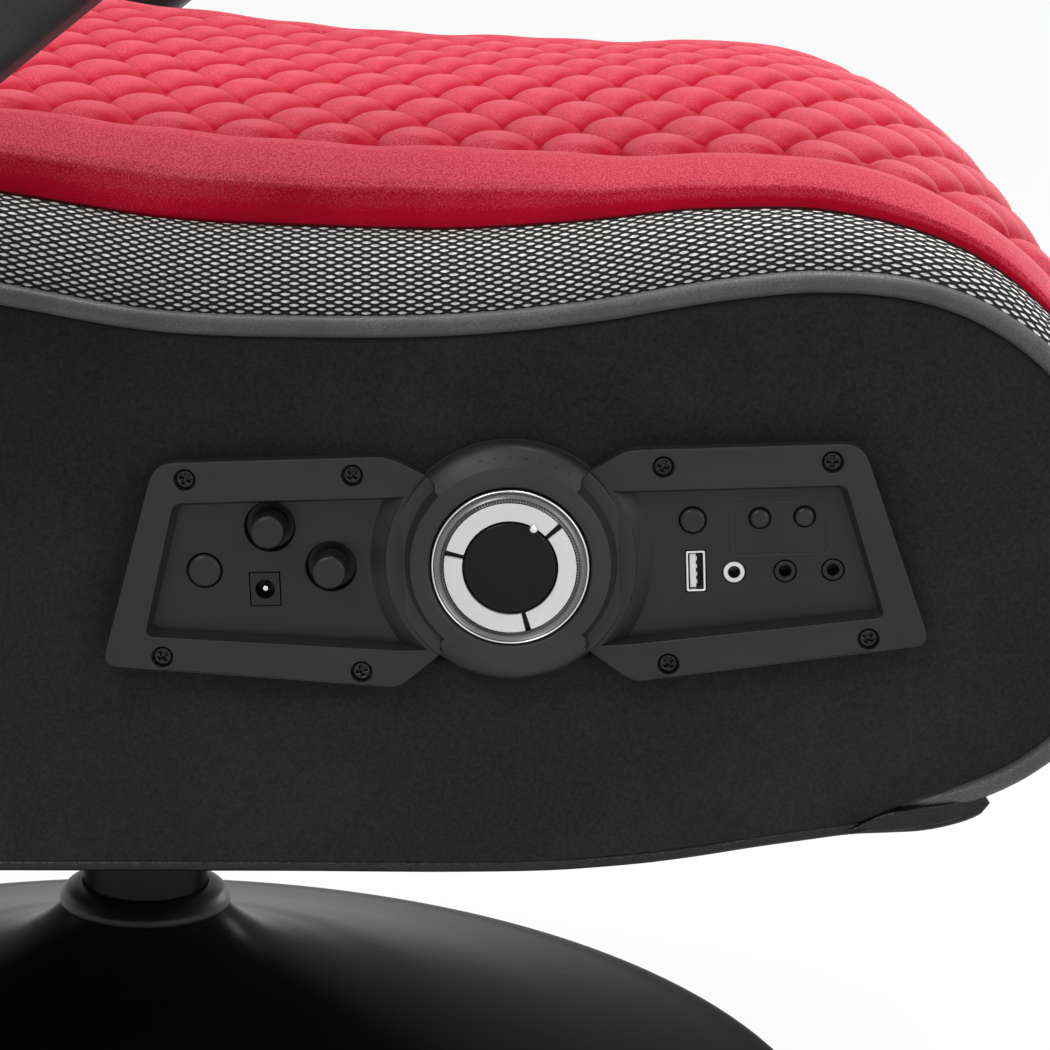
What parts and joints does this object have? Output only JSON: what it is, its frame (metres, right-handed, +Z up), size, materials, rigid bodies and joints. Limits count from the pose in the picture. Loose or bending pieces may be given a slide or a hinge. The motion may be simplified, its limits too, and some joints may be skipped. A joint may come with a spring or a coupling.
{
  "type": "gaming rocker chair",
  "caption": "Upholstered gaming rocker chair on a round pedestal, with a swivelling, rocking seat, fold-down back, flip-up arms and an audio control panel on its side.",
  "frame": {"origin": "on the floor, under the middle of the pedestal's column", "axes": "+Z up, +X to the front of the seat, so the sitter's right side and the control panel are towards -Y"},
  "size_m": [0.8039, 0.656, 1.1322],
  "materials": {
    "velvet": "red quilted velvet",
    "suede": "black faux suede",
    "net": "black mesh over pale backing",
    "vinyl": "grained dark vinyl",
    "grey_vinyl": "satin grey vinyl piping",
    "moulded_plastic": "fine matt texture",
    "dark_plastic": "satin black",
    "silver": "satin silver",
    "white_plastic": "gloss white",
    "satin_black": "satin black powder coat",
    "black_plastic": "matt black",
    "rubber": "matt",
    "steel": "plain mill finish",
    "plywood": "raw plywood",
    "foam": "cream upholstery foam",
    "circuit_green": "green solder mask"
  },
  "bodies": {
    "base": {"base_shell": "satin_black", "base_plate": "steel", "foot_ring": "rubber", "column_tube": "satin_black", "column_collar": "black_plastic", "column_bush": "black_plastic"},
    "swivel_head": {"swivel_spindle": "steel", "tilt_bracket": "steel", "tilt_axle": "steel"},
    "back": {"back_side_right": "suede", "back_side_left": "suede", "back_bolster_right": "velvet", "back_bolster_left": "velvet", "back_cushion": "velvet", "headrest": "velvet", "headrest_speaker_right": "dark_plastic", "headrest_speaker_left": "dark_plastic", "back_board": "plywood", "back_cover": "suede", "woofer": "dark_plastic"},
    "arm_right": {"arm_right": "vinyl"},
    "arm_left": {"arm_left": "vinyl"},
    "volume_dial": {"volume_dial": "silver"},
    "vibration_knob": {"vibration_knob": "dark_plastic"},
    "bass_knob": {"bass_knob": "dark_plastic"},
    "power_button": {"power_button": "dark_plastic"},
    "mode_button": {"mode_button": "dark_plastic"},
    "light_up_button": {"light_up_button": "dark_plastic"},
    "light_down_button": {"light_down_button": "dark_plastic"},
    "seat": {"seat_bracket": "steel", "torsion_sleeve": "rubber", "seat_base_board": "plywood", "seat_rear_panel": "suede", "front_rail": "plywood", "seat_deck": "plywood", "vibration_motor": "dark_plastic", "seat_foam": "foam", "seat_side_right": "suede", "seat_side_left": "suede", "seat_mesh_right": "net", "seat_mesh_left": "net", "seat_bolster_right": "velvet", "seat_bolster_left": "velvet", "seat_cushion": "velvet", "seat_welt_right": "grey_vinyl", "seat_welt_left": "grey_vinyl", "dust_cover": "black_plastic", "hinge_plate_right": "steel", "hinge_plate_left": "steel", "panel_frame": "moulded_plastic", "panel_insert": "dark_plastic", "circuit_board": "circuit_green", "dc_jack": "black_plastic", "usb_socket": "silver", "input_jack": "white_plastic", "front_output_jack": "black_plastic", "rear_output_jack": "black_plastic", "dial_housing": "moulded_plastic", "arm_pivot_right": "steel", "arm_pivot_left": "steel"}
  },
  "joints": [
    {"name": "swivel", "type": "hinge", "parent": "base", "child": "swivel_head", "pos_m": [0, 0, 0.15], "axis": [0, 0, 1], "continuous": true},
    {"name": "rock", "type": "hinge", "parent": "swivel_head", "child": "seat", "pos_m": [0.02, 0, 0.19], "axis": [0, -1, 0], "range_deg": [-4, 9], "stiffness_Nm_per_rad": 900, "springref_deg": -1.38},
    {"name": "back_fold", "type": "hinge", "parent": "seat", "child": "back", "pos_m": [-0.18554, 0, 0.48164], "axis": [0, 1, 0], "range_deg": [0, 70]},
    {"name": "arm_right_lift", "type": "hinge", "parent": "seat", "child": "arm_right", "pos_m": [-0.16013, -0.277, 0.37883], "axis": [0, -1, 0], "range_deg": [0, 75]},
    {"name": "arm_left_lift", "type": "hinge", "parent": "seat", "child": "arm_left", "pos_m": [-0.16013, 0.277, 0.37883], "axis": [0, -1, 0], "range_deg": [0, 75]},
    {"name": "volume_turn", "type": "hinge", "parent": "seat", "child": "volume_dial", "pos_m": [0.14941, -0.25, 0.31935], "axis": [0, -1, 0], "range_deg": [-135, 135]},
    {"name": "vibration_turn", "type": "hinge", "parent": "seat", "child": "vibration_knob", "pos_m": [0.07295, -0.25, 0.32597], "axis": [0, -1, 0], "range_deg": [-140, 140]},
    {"name": "bass_turn", "type": "hinge", "parent": "seat", "child": "bass_knob", "pos_m": [0.09265, -0.25, 0.31408], "axis": [0, -1, 0], "range_deg": [-140, 140]},
    {"name": "power_press", "type": "slide", "parent": "seat", "child": "power_button", "axis": [0, 1, 0], "range_m": [0, 0.001], "stiffness_N_per_m": 400, "springref_m": -0.002},
    {"name": "mode_press", "type": "slide", "parent": "seat", "child": "mode_button", "axis": [0, 1, 0], "range_m": [0, 0.001], "stiffness_N_per_m": 400, "springref_m": -0.002},
    {"name": "light_up_press", "type": "slide", "parent": "seat", "child": "light_up_button", "axis": [0, 1, 0], "range_m": [0, 0.001], "stiffness_N_per_m": 400, "springref_m": -0.002},
    {"name": "light_down_press", "type": "slide", "parent": "seat", "child": "light_down_button", "axis": [0, 1, 0], "range_m": [0, 0.001], "stiffness_N_per_m": 400, "springref_m": -0.002}
  ]
}
